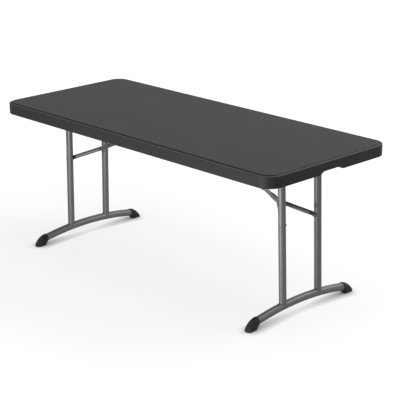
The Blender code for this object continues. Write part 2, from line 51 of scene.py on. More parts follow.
# Camera at the photograph's place: a long lens, a little above the table, looking at its front right corner.
# The picture is square, so the focal length in picture widths gives the lens.
focal_length_px, photo_width_px = 1302.2, 400
camera_place = (4.351, -4.019, 2.299)
view_azimuth, view_elevation, view_roll = math.radians(46.593), math.radians(18.259), math.radians(0.510)
camera_data = bpy.data.cameras.new("photo_camera")
camera_data.sensor_width = 36.0
camera_data.lens = focal_length_px / photo_width_px * camera_data.sensor_width
camera = bpy.data.objects.new("photo_camera", camera_data)
camera.matrix_world = (Matrix.Translation(camera_place) @ Matrix.Rotation(view_azimuth, 4, "Z")
                       @ Matrix.Rotation(math.pi / 2 - view_elevation, 4, "X")
                       @ Matrix.Rotation(-view_roll, 4, "Z"))
bpy.context.scene.collection.objects.link(camera)
bpy.context.scene.camera = camera
bpy.context.scene.view_settings.view_transform = "Standard"


# Studio: soft boxes over the table and behind its right end, and a low strip before its front side.
# The room is dim but shows as plain white, and so does the pale floor, which keeps the table's soft shadow.
room_light = 0.27
floor_half = 40.0
contact_reach = 0.048
lamps_aim = Vector((0.0, 0.0, 0.5))
soft_boxes = (("top_box", (0.2, -0.3, 6.0), 4.0, 4.0, 142.0),
              ("front_strip", (0.55, -2.2, 0.08), 1.0, 0.12, 50.0),
              ("back_box", (1.9, 2.9, 3.4), 2.6, 2.6, 148.0))


class Tone:
    """One socket of a node tree. Sums and products on it add the Math nodes that work them out."""

    def __init__(self, bench, socket):
        self.bench = bench
        self.socket = socket

    def worked(self, operation, first, second=0.0):
        return self.bench.node("ShaderNodeMath", {"operation": operation}, {0: first, 1: second})

    def __add__(self, other):
        return self.worked("ADD", self, other)

    def __radd__(self, other):
        return self.worked("ADD", other, self)

    def __sub__(self, other):
        return self.worked("SUBTRACT", self, other)

    def __rsub__(self, other):
        return self.worked("SUBTRACT", other, self)

    def __mul__(self, other):
        return self.worked("MULTIPLY", self, other)

    def __rmul__(self, other):
        return self.worked("MULTIPLY", other, self)

    def __lt__(self, other):
        return self.worked("LESS_THAN", self, other)

    def __abs__(self):
        return self.worked("ABSOLUTE", self)


class Bench:
    """A node tree that nodes are added to, one call each."""

    def __init__(self, tree):
        self.tree = tree

    def node(self, kind, settings=None, sockets=None, output=0):
        made = self.tree.nodes.new(kind)
        for name, value in (settings or {}).items():
            if name == "stops":
                made.color_ramp.elements[0].position = value[0]
                made.color_ramp.elements[1].position = value[1]
            else:
                setattr(made, name, value)
        for key, value in (sockets or {}).items():
            self.feed(made.inputs[key], value)
        return Tone(self, made.outputs[output])

    def feed(self, socket, value):
        for part in value if isinstance(value, list) else [value]:
            if isinstance(part, Tone):
                self.tree.links.new(part.socket, socket)
            else:
                socket.default_value = part


def shown_rays(bench):
    """1 for rays that show the room or the floor itself, 0 for rays that only carry its light."""
    seen = bench.node("ShaderNodeLightPath", output="Is Camera Ray")
    mirrored = Tone(bench, seen.socket.node.outputs["Is Glossy Ray"])
    through = Tone(bench, seen.socket.node.outputs["Is Transmission Ray"])
    return bench.node("ShaderNodeClamp", sockets={"Value": seen + mirrored + through})


room = bpy.data.worlds.new("white_room")
room.use_nodes = True
room_bench = Bench(room.node_tree)
room_wall = room.node_tree.nodes["Background"]
room_bench.feed(room_wall.inputs["Color"], (1.0, 1.0, 1.0, 1.0))
room_bench.feed(room_wall.inputs["Strength"], room_light + (1.0 - room_light) * shown_rays(room_bench))
bpy.context.scene.world = room

floor_finish = bpy.data.materials.new("pale_floor")
floor_finish.use_nodes = True
floor_bench = Bench(floor_finish.node_tree)
floor_bench.tree.nodes.remove(floor_bench.tree.nodes["Principled BSDF"])
bounced = floor_bench.node("ShaderNodeBsdfDiffuse", sockets={"Color": (0.35, 0.35, 0.35, 1.0)})
lit = floor_bench.node("ShaderNodeBsdfDiffuse", sockets={"Color": (0.20, 0.20, 0.20, 1.0)})
floor_place = floor_bench.node("ShaderNodeTexCoord", output="Object")
away = floor_bench.node("ShaderNodeVectorMath", {"operation": "LENGTH"}, {0: floor_place}, "Value")
paler = floor_bench.node("ShaderNodeMapRange", {"interpolation_type": "SMOOTHSTEP"},
                         {"Value": away, "From Min": 0.8, "From Max": 4.0, "To Min": 0.80, "To Max": 0.98})
# The floor's glow darkens by ambient occlusion close under the feet and caps: a painted contact shadow.
painted_contact_shadow = floor_bench.node("ShaderNodeAmbientOcclusion", {"samples": 12}, {"Distance": contact_reach}, "AO")
glow_colour = paler * painted_contact_shadow * (0.4 + 0.6 * painted_contact_shadow)
glow = floor_bench.node("ShaderNodeEmission", sockets={"Color": glow_colour, "Strength": 1.0})
white = floor_bench.node("ShaderNodeAddShader", sockets={0: lit, 1: glow})
floor_look = floor_bench.node("ShaderNodeMixShader", sockets={0: shown_rays(floor_bench), 1: bounced, 2: white})
floor_bench.feed(floor_bench.tree.nodes["Material Output"].inputs["Surface"], floor_look)
floor_mesh = bpy.data.meshes.new("pale_floor")
floor_cut = bmesh.new()
bmesh.ops.create_grid(floor_cut, x_segments=1, y_segments=1, size=floor_half)
floor_cut.to_mesh(floor_mesh)
floor_cut.free()
floor_mesh.materials.append(floor_finish)
floor = bpy.data.objects.new("pale_floor", floor_mesh)
bpy.context.scene.collection.objects.link(floor)

for box_name, box_place, box_width, box_height, box_power in soft_boxes:
    box_data = bpy.data.lights.new(box_name, "AREA")
    box_data.shape = "RECTANGLE"
    box_data.size = box_width
    box_data.size_y = box_height
    box_data.energy = box_power
    box = bpy.data.objects.new(box_name, box_data)
    box.location = box_place
    box.rotation_euler = (lamps_aim - box.location).to_track_quat("-Z", "Y").to_euler()
    bpy.context.scene.collection.objects.link(box)


# Tabletop: one blow-moulded shell of charcoal plastic, with a raised deck, a narrow ledge and a deep skirt.
# The mould leaves a pebbled skin, a finger notch under each end, and rows of tack-off dimples underneath,
# where the two walls of the shell are pinched together to stiffen it.
top_low, top_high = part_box("tabletop")
deck_thickness, deck_step = 0.022, 0.004
corner_radius, skirt_thickness = 0.070, 0.020
ledge_round, rim_round = 0.004, 0.003
ledge_inner, groove_middle, groove_half = 0.0063, 0.0091, 0.0028
notch_half_flat, notch_ramp, notch_depth = 0.040, 0.040, 0.013
dimple_pitch, dimple_columns, dimple_rows, dimple_sides = 0.040, 43, 16, 12
tile_seam = 0.0005
dimple_rings = ((0.0145, 0.0), (0.0130, 0.0012), (0.0080, 0.0085), (0.0055, 0.0096))
rim_low, ledge, underside = top_low.z, top_high.z - deck_step, top_high.z - deck_thickness
straight_x, straight_y = top_high.x - corner_radius, top_high.y - corner_radius
anchor = pivots["right_strut_turn"]


def new_finish(name):
    material = bpy.data.materials.new(name)
    material.use_nodes = True
    bench = Bench(material.node_tree)
    place = bench.node("ShaderNodeTexCoord", output="Object")
    return material, bench, place


def coat(material, bench, sockets):
    """Feeds the sockets of the finish's shader by their names."""
    shader = material.node_tree.nodes["Principled BSDF"]
    for name, value in sockets.items():
        bench.feed(shader.inputs[name], value)


def blend_colours(bench, share, first, second):
    """A blend of two colours, each a tone or a plain triple."""
    first, second = [colour if isinstance(colour, Tone) else (*colour, 1.0) for colour in (first, second)]
    return bench.node("ShaderNodeMix", {"data_type": "RGBA"}, {0: share, 6: first, 7: second}, 2)


def noise(bench, place, scale, detail, roughness=0.5):
    return bench.node("ShaderNodeTexNoise", sockets={"Vector": place, "Scale": scale, "Detail": detail,
                                                     "Roughness": roughness})


def bump(bench, height, strength, distance):
    return bench.node("ShaderNodeBump", sockets={"Height": height, "Strength": strength, "Distance": distance})


charcoal, bench, place = new_finish("pebbled_charcoal_plastic")
pebble = bench.node("ShaderNodeTexVoronoi", {"feature": "SMOOTH_F1"},
                    {"Vector": place, "Scale": 380.0, "Smoothness": 0.7})
grain = noise(bench, place, 1300.0, 2.0)
cloud = noise(bench, place, 5.0, 5.0, 0.6)
rubbed_place = bench.node("ShaderNodeMapping", sockets={"Vector": place, "Scale": (3.0, 70.0, 30.0),
                                                        "Rotation": (0.0, 0.0, 0.5)})
rubbed = bench.node("ShaderNodeValToRGB", {"stops": (0.66, 0.78)},
                    {0: noise(bench, rubbed_place, 2.0, 6.0, 0.65)})
height_up = bench.node("ShaderNodeSeparateXYZ", sockets={0: place}, output="Z")
beyond = bench.node("ShaderNodeVectorMath", {"operation": "ABSOLUTE"}, {0: place})
beyond = bench.node("ShaderNodeVectorMath", {"operation": "SUBTRACT"},
                    {0: beyond, 1: (straight_x, straight_y, top_high.z)})
beyond = bench.node("ShaderNodeVectorMath", {"operation": "MAXIMUM"}, {0: beyond, 1: (0.0, 0.0, 0.0)})
from_edge = corner_radius - bench.node("ShaderNodeVectorMath", {"operation": "LENGTH"}, {0: beyond}, "Value")
# The ledge band gets a lighter charcoal: a painted highlight where light catches the ledge's rounded edge, with some
# rubbed wear.
wear_and_ledge_highlight = (from_edge < ledge_inner) * (abs(height_up - ledge) < deck_step / 2)
# The groove between the deck and the ledge gets the darkest charcoal: painted shade in the recess.
groove_painted_shade = (abs(from_edge - groove_middle) < groove_half) * (abs(height_up - ledge) < deck_step + 0.0005)
moulded = blend_colours(bench, 0.55 * cloud + 0.45 * pebble + 0.25 * rubbed,
                        (0.0160, 0.0160, 0.0165), (0.0310, 0.0310, 0.0319))
# Painted highlight and wear on the ledge.
moulded = blend_colours(bench, wear_and_ledge_highlight, moulded, (0.060, 0.060, 0.062))
# Painted shade in the groove.
moulded = blend_colours(bench, groove_painted_shade, moulded, (0.016, 0.016, 0.0165))
coat(charcoal, bench, {
    "Base Color": moulded,
    "Roughness": 0.52 + 0.14 * cloud - 0.06 * rubbed, "Specular IOR Level": 0.12,
    "Normal": bump(bench, 0.7 * pebble + 0.3 * grain, 0.35, 0.0006)})


def notch_lift(across):
    """How far the skirt's lower edge is raised at a place across the end."""
    ramp_share = min(max((abs(across) - notch_half_flat) / notch_ramp, 0.0), 1.0)
    return notch_depth * (1 + math.cos(math.pi * ramp_share)) / 2


def top_outline(inset):
    """Points around the top, moved in by inset and set closely along the notch of each end."""
    end_spans, side_spans, corner_spans = 32, 16, 18
    notch_reach = notch_half_flat + notch_ramp
    end_steps = [notch_reach * (2 * step / end_spans - 1) for step in range(end_spans + 1)]
    side_steps = [straight_x * (2 * step / side_spans - 1) for step in range(1, side_spans)]
    points = []
    for half in (1, -1):
        points += [(half * (top_high.x - inset), half * across) for across in end_steps]
        for corner in (0, 1):
            centre_x, centre_y = half * straight_x * (1 - 2 * corner), half * straight_y
            for step in range(corner_spans + 1):
                angle = (corner + step / corner_spans) * math.pi / 2
                points.append((centre_x + half * (corner_radius - inset) * math.cos(angle),
                               centre_y + half * (corner_radius - inset) * math.sin(angle)))
            if corner == 0:
                points += [(-half * along, half * (top_high.y - inset)) for along in side_steps]
    return points


# The top's section, from the deck over the groove, the ledge and the skirt's rim to the underside. Each point has
# its inset from the skirt's face, its height, and 1 where it rises with the notch or 0 where it doesn't.
edge_rounds = [math.radians(angle) for angle in (0, 22.5, 45, 67.5, 90)]
rim_flat, rim_start, rim_blend = 0.0050, 0.0050, 0.022
top_profile = [(0.0180, top_high.z, 0), (0.0146, top_high.z, 0), (0.0138, top_high.z - 0.0003, 0),
               (0.0132, top_high.z - 0.0009, 0), (0.0110, ledge - 0.0002, 0), (0.0102, ledge - 0.0008, 0),
               (0.0092, ledge - 0.0010, 0), (0.0080, ledge - 0.0008, 0), (0.0070, ledge - 0.0002, 0),
               (0.0062, ledge, 0), (0.0052, ledge, 0)]
top_profile += [(ledge_round * (1 - math.sin(angle)), ledge - ledge_round * (1 - math.cos(angle)), 0)
                for angle in edge_rounds]
top_profile += [(0.0, ledge - 0.007, 0), (0.0, rim_low + rim_blend, 0), (0.0, rim_low + rim_start, 1)]
top_profile += [(rim_round * (1 - math.cos(angle)), rim_low + rim_round * (1 - math.sin(angle)), 1)
                for angle in edge_rounds]
top_profile += [(rim_flat, rim_low, 1), (skirt_thickness - rim_flat, rim_low, 1)]
top_profile += [(skirt_thickness - rim_round * (1 - math.sin(angle)), rim_low + rim_round * (1 - math.cos(angle)), 1)
                for angle in edge_rounds]
top_profile += [(skirt_thickness, rim_low + rim_start, 1), (skirt_thickness, rim_low + rim_blend, 0),
                (skirt_thickness, underside - rim_start, 0)]
top_profile += [(skirt_thickness + rim_round * (1 - math.cos(angle)),
                 underside - rim_round * (1 - math.sin(angle)), 0) for angle in edge_rounds]
top_profile += [(skirt_thickness + 1.5 * rim_round, underside, 0)]


def dimple_tile(name, rings):
    """A square of the underside with a round recess in its middle, open at its edge."""
    tile = bmesh.new()
    half = dimple_pitch / 2
    third = dimple_pitch / 6
    side = [(half, -third), (half, third), (half, half)]
    rows = [[tile.verts.new((x * math.cos(turn) - y * math.sin(turn), x * math.sin(turn) + y * math.cos(turn), 0))
             for turn in (0, math.pi / 2, math.pi, 3 * math.pi / 2) for x, y in side]]
    for radius, depth in rings:
        angles = [2 * math.pi * (step - 0.5) / dimple_sides for step in range(dimple_sides)]
        rows.append([tile.verts.new((radius * math.cos(angle), radius * math.sin(angle), depth))
                     for angle in angles])
    for outer, inner in zip(rows, rows[1:]):
        for here in range(dimple_sides):
            tile.faces.new((outer[here], outer[here - 1], inner[here - 1], inner[here]))
    tile.faces.new(rows[-1])
    mesh = bpy.data.meshes.new(name)
    tile.to_mesh(mesh)
    tile.free()
    return bpy.data.objects.new(name, mesh)


def start_tree(name, inputs):
    """A new tree of geometry nodes and its inputs, by name."""
    tree = bpy.data.node_groups.new(name, "GeometryNodeTree")
    tree.interface.new_socket("Geometry", in_out="INPUT", socket_type="NodeSocketGeometry")
    for label, kind in inputs.items():
        tree.interface.new_socket(label, in_out="INPUT", socket_type="NodeSocket" + kind)
    tree.interface.new_socket("Result", in_out="OUTPUT", socket_type="NodeSocketGeometry")
    bench = Bench(tree)
    given = tree.nodes.new("NodeGroupInput")
    return bench, {socket.name: Tone(bench, socket) for socket in given.outputs if socket.name}


def end_tree(bench, instances, finish):
    """Makes the tree's instances real, gives them their finish and hands them out."""
    real = bench.node("GeometryNodeRealizeInstances", sockets={"Geometry": instances})
    coated = bench.node("GeometryNodeSetMaterial", sockets={"Geometry": real, "Material": finish})
    bench.feed(bench.tree.nodes.new("NodeGroupOutput").inputs["Result"], coated)
    return bench.tree


def grown(tree, source, values, wall=0.0):
    """The plain mesh that a tree makes from a source mesh, with a wall inside its skin where one is given."""
    holder = bpy.data.objects.new(tree.name, source)
    bpy.context.scene.collection.objects.link(holder)
    grower = holder.modifiers.new(tree.name, "NODES")
    grower.node_group = tree
    for label, value in values.items():
        grower[tree.interface.items_tree[label].identifier] = value
    if wall:
        skin = holder.modifiers.new("wall", "SOLIDIFY")
        skin.thickness = wall
        skin.offset = -1.0
        skin.use_even_offset = True
    mesh = bpy.data.meshes.new_from_object(holder.evaluated_get(bpy.context.evaluated_depsgraph_get()))
    bpy.data.objects.remove(holder, do_unlink=True)
    return mesh


bench, given = start_tree("dimple_field", {"Columns": "Int", "Rows": "Int", "Pitch": "Float", "Height": "Float",
                                           "Pad Place": "Float", "Dimple": "Object", "Pad": "Object",
                                           "Finish": "Material"})
field = bench.node("GeometryNodeMeshGrid", sockets={
    "Size X": given["Pitch"] * (given["Columns"] - 1.0), "Size Y": given["Pitch"] * (given["Rows"] - 1.0),
    "Vertices X": given["Columns"], "Vertices Y": given["Rows"]})
raised = bench.node("ShaderNodeCombineXYZ", sockets={"Z": given["Height"]})
field = bench.node("GeometryNodeTransform", sockets={"Geometry": field, "Translation": raised})
spot = bench.node("ShaderNodeSeparateXYZ", sockets={0: bench.node("GeometryNodeInputPosition")})
spot_y = Tone(bench, spot.socket.node.outputs["Y"])
padded = (abs(abs(spot) - given["Pad Place"]) < given["Pitch"]) * (abs(spot_y) < 1.6 * given["Pitch"])
tiles = []
for label, chosen in (("Dimple", 1.0 - padded), ("Pad", padded)):
    tile = bench.node("GeometryNodeObjectInfo", sockets={"Object": given[label]}, output="Geometry")
    tiles.append(bench.node("GeometryNodeInstanceOnPoints",
                            sockets={"Points": field, "Selection": chosen, "Instance": tile}))
tiles = bench.node("GeometryNodeJoinGeometry", sockets={"Geometry": tiles})
tiles = bench.node("GeometryNodeRealizeInstances", sockets={"Geometry": tiles})
tiles = bench.node("GeometryNodeMergeByDistance", sockets={"Geometry": tiles, "Distance": tile_seam})
dimple_tree = end_tree(bench, tiles, given["Finish"])

dimple = dimple_tile("dimple", dimple_rings)
pad = dimple_tile("pad", ())
dimple_mesh = grown(dimple_tree, bpy.data.meshes.new("dimple_field"), {
    "Columns": dimple_columns, "Rows": dimple_rows, "Pitch": dimple_pitch, "Height": underside,
    "Pad Place": anchor.x, "Dimple": dimple, "Pad": pad, "Finish": charcoal})
bpy.data.objects.remove(dimple)
bpy.data.objects.remove(pad)

shell = bmesh.new()
shell.from_mesh(dimple_mesh)
shell_edges = [edge for edge in shell.edges if edge.is_boundary]
rows = [[shell.verts.new((x, y, height + (share * notch_lift(y) if abs(x) > straight_x else 0.0)))
         for x, y in top_outline(inset)] for inset, height, share in top_profile]
for row, following in zip(rows, rows[1:]):
    for here in range(len(row)):
        shell.faces.new((row[here - 1], row[here], following[here], following[here - 1]))
shell.faces.new(rows[0])
shell_edges += [shell.edges.get((rows[-1][here - 1], rows[-1][here])) for here in range(len(rows[-1]))]
bmesh.ops.triangle_fill(shell, edges=shell_edges, use_beauty=True)


def smooth_mesh(name, shape, sharp_degrees=40.0):
    """Closes a bmesh into a mesh that faces outwards and shades as one surface up to its sharp edges."""
    bmesh.ops.remove_doubles(shape, verts=shape.verts, dist=0.00001)
    bmesh.ops.recalc_face_normals(shape, faces=shape.faces)
    mesh = bpy.data.meshes.new(name)
    shape.to_mesh(mesh)
    shape.free()
    mesh.shade_smooth()
    mesh.set_sharp_from_angle(angle=math.radians(sharp_degrees))
    return mesh


def fit(name, mesh, finish, body, slot, *replaced):
    """Puts a finished mesh on its body in place of the solids it stands for."""
    piece = bpy.data.objects.new(name, mesh)
    mesh.materials.clear()
    mesh.materials.append(finish)
    bpy.context.scene.collection.objects.link(piece)
    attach(piece, body)
    if replaced:
        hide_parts(*replaced)


fit("moulded_top", smooth_mesh("moulded_top", shell), charcoal, "table_top", "charcoal_plastic", "tabletop")


# Side rails and strut brackets: pressed steel with a dark powder coat, screwed up into the underside.
# The rails stiffen the long edges and carry the leg axles, and each bracket holds the upper end of a strut.
dark_coat, bench, place = new_finish("dark_powder_coat")
orange_peel = noise(bench, place, 420.0, 3.0)
patchy = noise(bench, place, 9.0, 5.0, 0.6)
coat(dark_coat, bench, {
    "Base Color": blend_colours(bench, 0.6 * patchy + 0.4 * orange_peel,
                                (0.040, 0.040, 0.042), (0.085, 0.085, 0.088)),
    "Roughness": 0.42 + 0.18 * patchy, "Metallic": 0.35, "Normal": bump(bench, orange_peel, 0.30, 0.0003)})
for node_name in ("front_rail", "back_rail", "left_strut_bracket", "right_strut_bracket"):
    frame["nodes"][node_name].material_slots[0].material = dark_coat


# Axle bushes: flanged sleeves of black nylon, pushed into the rails from the inside.
# The leg axles turn in them, and they keep steel off steel.
black_plastic, bench, place = new_finish("grained_black_plastic")
leather_grain = bench.node("ShaderNodeTexVoronoi", {"feature": "SMOOTH_F1"},
                           {"Vector": place, "Scale": 700.0, "Smoothness": 0.5})
# Here only a random tone of handling wear over the plastic.
wear_and_ledge_highlight = noise(bench, place, 38.0, 5.0, 0.62)
height_up = bench.node("ShaderNodeSeparateXYZ", sockets={0: place}, output="Z")
dusty = bench.node("ShaderNodeMapRange", sockets={"Value": height_up, "From Min": 0.010, "From Max": 0.001,
                                                  "To Min": 0.0, "To Max": 0.7})
coat(black_plastic, bench, {
    "Base Color": blend_colours(bench, 0.5 * wear_and_ledge_highlight + 0.3 * leather_grain + 0.4 * dusty * wear_and_ledge_highlight,
                                (0.0032, 0.0032, 0.0034), (0.0105, 0.0105, 0.0110)),
    "Roughness": 0.34 + 0.22 * wear_and_ledge_highlight, "Specular IOR Level": 0.22,
    "Normal": bump(bench, leather_grain, 0.30, 0.0003)})


def turned(name, profile, sides):
    """A shape turned about Z from pairs of radius and height."""
    shape = bmesh.new()
    points = [shape.verts.new((radius, 0.0, height)) for radius, height in profile]
    edges = [shape.edges.new(pair) for pair in zip(points, points[1:])]
    bmesh.ops.spin(shape, geom=points + edges, cent=(0, 0, 0), axis=(0, 0, 1), angle=2 * math.pi, steps=sides,
                   use_merge=True)
    return smooth_mesh(name, shape)


bench, given = start_tree("set_out_hardware", {"Piece": "Object", "Spin": "Float", "Finish": "Material"})
facing = bench.node("GeometryNodeInputNamedAttribute", {"data_type": "FLOAT_VECTOR"}, {"Name": "facing"})
turn = bench.node("FunctionNodeAlignRotationToVector", {"axis": "Z"}, {"Vector": facing})
spun = bench.node("FunctionNodeAxisAngleToRotation", sockets={"Axis": (0.0, 0.0, 1.0), "Angle": given["Spin"]})
turn = bench.node("FunctionNodeRotateRotation", {"rotation_space": "LOCAL"}, {"Rotation": turn, "Rotate By": spun})
piece = bench.node("GeometryNodeObjectInfo", sockets={"Object": given["Piece"]}, output="Geometry")
points = bench.node("GeometryNodeInstanceOnPoints",
                    sockets={"Points": given["Geometry"], "Instance": piece, "Rotation": turn})
hardware_tree = end_tree(bench, points, given["Finish"])


def set_out(name, shape, spots, finish, spin=0.0):
    """One mesh with a shape at each spot, its Z axis along the spot's facing."""
    marks = bpy.data.meshes.new(name)
    marks.from_pydata([place for place, facing in spots], [], [])
    marks.attributes.new("facing", "FLOAT_VECTOR", "POINT")
    for mark, (place, facing) in zip(marks.attributes["facing"].data, spots):
        mark.vector = facing
    holder = bpy.data.objects.new(name, shape)
    mesh = grown(hardware_tree, marks, {"Piece": holder, "Spin": spin, "Finish": finish})
    bpy.data.objects.remove(holder)
    mesh.name = name
    return mesh


hinge = pivots["right_leg_fold"]
rail_wall, axle_radius, seat_gap = 0.002, 0.010, 0.0003
bush_bore, bush_outside, flange_radius = axle_radius + seat_gap, 0.0125, 0.0140
rail_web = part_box("back_rail")[1].y - rail_wall
bush_profile = [(bush_bore, 0.0026), (0.0112, 0.0030), (0.0121, 0.0026), (bush_outside, 0.0018),
                (bush_outside, -seat_gap), (0.0136, -seat_gap), (flange_radius, -0.0007), (flange_radius, -0.0018),
                (0.0136, -0.0023), (0.0108, -0.0023), (bush_bore, -0.0018), (bush_bore, 0.0026)]
bush_shape = turned("bush", bush_profile, 40)
bush_spots = [(Vector((sign * hinge.x, side * rail_web, hinge.z)), (0, side, 0))
              for sign in (-1, 1) for side in (-1, 1)]
fit("axle_bushes", set_out("axle_bushes", bush_shape, bush_spots, black_plastic), black_plastic, "table_top",
    "black_plastic", *[f"{end}_{side}_axle_bush" for end in ("left", "right") for side in ("front", "back")])


# Screws: zinc-plated tapping screws with a hexagon head on a washer flange.
# They hold the rails and the brackets to the moulded top.
zinc, bench, place = new_finish("zinc_plate")
crystals = bench.node("ShaderNodeTexVoronoi", {"feature": "F1"}, {"Vector": place, "Scale": 900.0})
tarnish = noise(bench, place, 60.0, 5.0, 0.6)
coat(zinc, bench, {
    "Base Color": blend_colours(bench, 0.6 * tarnish + 0.4 * crystals, (0.30, 0.30, 0.305), (0.56, 0.555, 0.54)),
    "Roughness": 0.26 + 0.26 * tarnish, "Metallic": 1.0, "Normal": bump(bench, crystals, 0.12, 0.0002)})

screw_head, washer_radius, washer_height = 0.0025, 0.0045, 0.0010
hexagon_radius, hexagon_height, hexagon_middle = 0.0031, 0.0014, 0.0015
shank_radius, shank_length, shank_middle = 0.0019, 0.0100, -0.0049
washer_profile = [(0.0, 0.0), (washer_radius, 0.0), (washer_radius, 0.0006), (0.0038, washer_height),
                  (0.0, washer_height)]
screw = bmesh.new()
screw.from_mesh(turned("washer", washer_profile, 24))
for sides, radius, depth, middle in ((6, hexagon_radius, hexagon_height, hexagon_middle),
                                     (12, shank_radius, shank_length, shank_middle)):
    bmesh.ops.create_cone(screw, cap_ends=True, segments=sides, radius1=radius, radius2=radius, depth=depth,
                          matrix=Matrix.Translation((0, 0, middle)))
screw_shape = smooth_mesh("screw", screw)
screw_names = [f"rail_screw_{number}" for number in range(1, 9)]
screw_names += [f"bracket_screw_{number}" for number in range(1, 5)]
screw_spots = []
for screw_name in screw_names:
    screw_low, screw_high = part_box(screw_name)
    middle = (screw_low + screw_high) / 2
    screw_spots.append((Vector((middle.x, middle.y, screw_low.z + screw_head)), (0, 0, -1)))
fit("rail_and_bracket_screws", set_out("rail_and_bracket_screws", screw_shape, screw_spots, zinc, 0.3), zinc,
    "table_top", "zinc_steel", *screw_names)


# Leg frames: steel tube with a hammered silver-grey powder coat. Each has an axle, two uprights and an arched foot.
# The uprights are notched over the foot and welded to it, and the axle is pressed through their heads.
ends = (("left", Matrix.Rotation(math.pi, 4, "Z")), ("right", Matrix.Identity(4)))
pivot = pivots["right_fork_turn"]
splay = math.radians(1.5)
tube_wall, tube_sides = 0.0015, 40
foot_rise, foot_arch_radius, foot_radius, foot_reach = 0.060, 1.55, 0.018, 0.299
upright_radius, upright_y, upright_head = 0.017, 0.116, 0.0105
weld_radius, weld_ripples, pivot_shade_reach = 0.0016, 26.0, 0.017
leg_frame = Matrix.Translation(hinge) @ Matrix.Rotation(-splay, 4, "Y")
foot_centre = (hinge.z - foot_rise) / math.cos(splay)
hammered, bench, place = new_finish("hammered_grey_powder_coat")
hammer_marks = bench.node("ShaderNodeTexVoronoi", {"feature": "SMOOTH_F1"},
                          {"Vector": place, "Scale": 240.0, "Smoothness": 0.8})
fleck = noise(bench, place, 900.0, 2.0)
drift = noise(bench, place, 14.0, 4.0, 0.55)
spot_x = bench.node("ShaderNodeSeparateXYZ", sockets={0: place})
spot_y, spot_z = [Tone(bench, spot_x.socket.node.outputs[label]) for label in ("Y", "Z")]
between_uprights = abs(spot_y) < upright_y - upright_radius - 0.0001
# The arm tabs at the pivots, between the uprights, get a near-black colour: painted shade where the arms sit against
# the uprights.
pivot_painted_shade = (abs(abs(spot_x) - pivot.x) < pivot_shade_reach) * (abs(spot_z - pivot.z) < pivot_shade_reach) * between_uprights
grey = blend_colours(bench, 0.35 * hammer_marks + 0.20 * fleck + 0.50 * drift, (0.070, 0.070, 0.072),
                     (0.146, 0.146, 0.149))
coat(hammered, bench, {
    # The grey, with the painted shade at the pivots.
    "Base Color": blend_colours(bench, 0.9 * pivot_painted_shade, grey, (0.008, 0.008, 0.008)),
    "Roughness": 0.43 + 0.08 * drift + 0.05 * hammer_marks, "Metallic": 0.45,
    "Normal": bump(bench, hammer_marks, 0.06, 0.0004)})

bench, given = start_tree("steel_tube", {"Radius": "Float", "Sides": "Int", "Finish": "Material"})
path = bench.node("GeometryNodeMeshToCurve", sockets={"Mesh": given["Geometry"]})
section = bench.node("GeometryNodeCurvePrimitiveCircle", {"mode": "RADIUS"},
                     {"Resolution": given["Sides"], "Radius": given["Radius"]})
skin = bench.node("GeometryNodeCurveToMesh", sockets={"Curve": path, "Profile Curve": section})
tube_tree = end_tree(bench, skin, given["Finish"])

bench, given = start_tree("weld_bead", {"Radius": "Float", "Ripples": "Float", "Finish": "Material"})
seam = bench.node("GeometryNodeMeshToCurve", sockets={"Mesh": given["Geometry"]})
along = bench.node("GeometryNodeSplineParameter", output="Factor")
ripple = along.worked("SINE", along * given["Ripples"] * (2 * math.pi))
bead = bench.node("GeometryNodeSetCurveRadius", sockets={"Curve": seam, "Radius": 1.0 + 0.14 * ripple})
section = bench.node("GeometryNodeCurvePrimitiveCircle", {"mode": "RADIUS"},
                     {"Resolution": 8, "Radius": given["Radius"]})
swell = bench.node("GeometryNodeInputRadius")
skin = bench.node("GeometryNodeCurveToMesh", sockets={"Curve": bead, "Profile Curve": section, "Scale": swell})
weld_tree = end_tree(bench, skin, given["Finish"])


def path_mesh(name, points, closed=False):
    edges = [(here, here + 1) for here in range(len(points) - 1)]
    if closed:
        edges.append((len(points) - 1, 0))
    mesh = bpy.data.meshes.new(name)
    mesh.from_pydata(points, edges, [])
    return mesh


def tube(name, points, radius, place):
    """A hollow steel tube along points, with smooth sides, put in its place."""
    mesh = grown(tube_tree, path_mesh(name, points),
                 {"Radius": radius, "Sides": tube_sides, "Finish": hammered}, tube_wall)
    shape = bmesh.new()
    shape.from_mesh(mesh)
    mesh = smooth_mesh(name, shape)
    mesh.transform(place)
    return mesh


def foot_drop(across):
    """How far the arched foot has come down at a place along it."""
    return foot_arch_radius - math.sqrt(foot_arch_radius ** 2 - across ** 2)


def foot_line(spans=40):
    """Points along the middle of the arched foot, in the leg's frame."""
    steps = [foot_reach * (2 * step / spans - 1) for step in range(spans + 1)]
    return [(0.0, across, -foot_centre - foot_drop(across)) for across in steps]


def weld_line(side, spans=72):
    """The seam where an upright meets the arched foot, in the leg's frame."""
    points = []
    for step in range(spans):
        angle = 2 * math.pi * step / spans
        out, across = upright_radius * math.cos(angle), upright_radius * math.sin(angle)
        place = side * upright_y + across
        rise = math.sqrt(foot_radius ** 2 - out ** 2)
        points.append((out, place, -foot_centre - foot_drop(place) + rise))
    return points


def side_word(end, side):
    """The table's side that a place in an end's own frame falls on."""
    return "front" if side * (1 if end == "right" else -1) < 0 else "back"


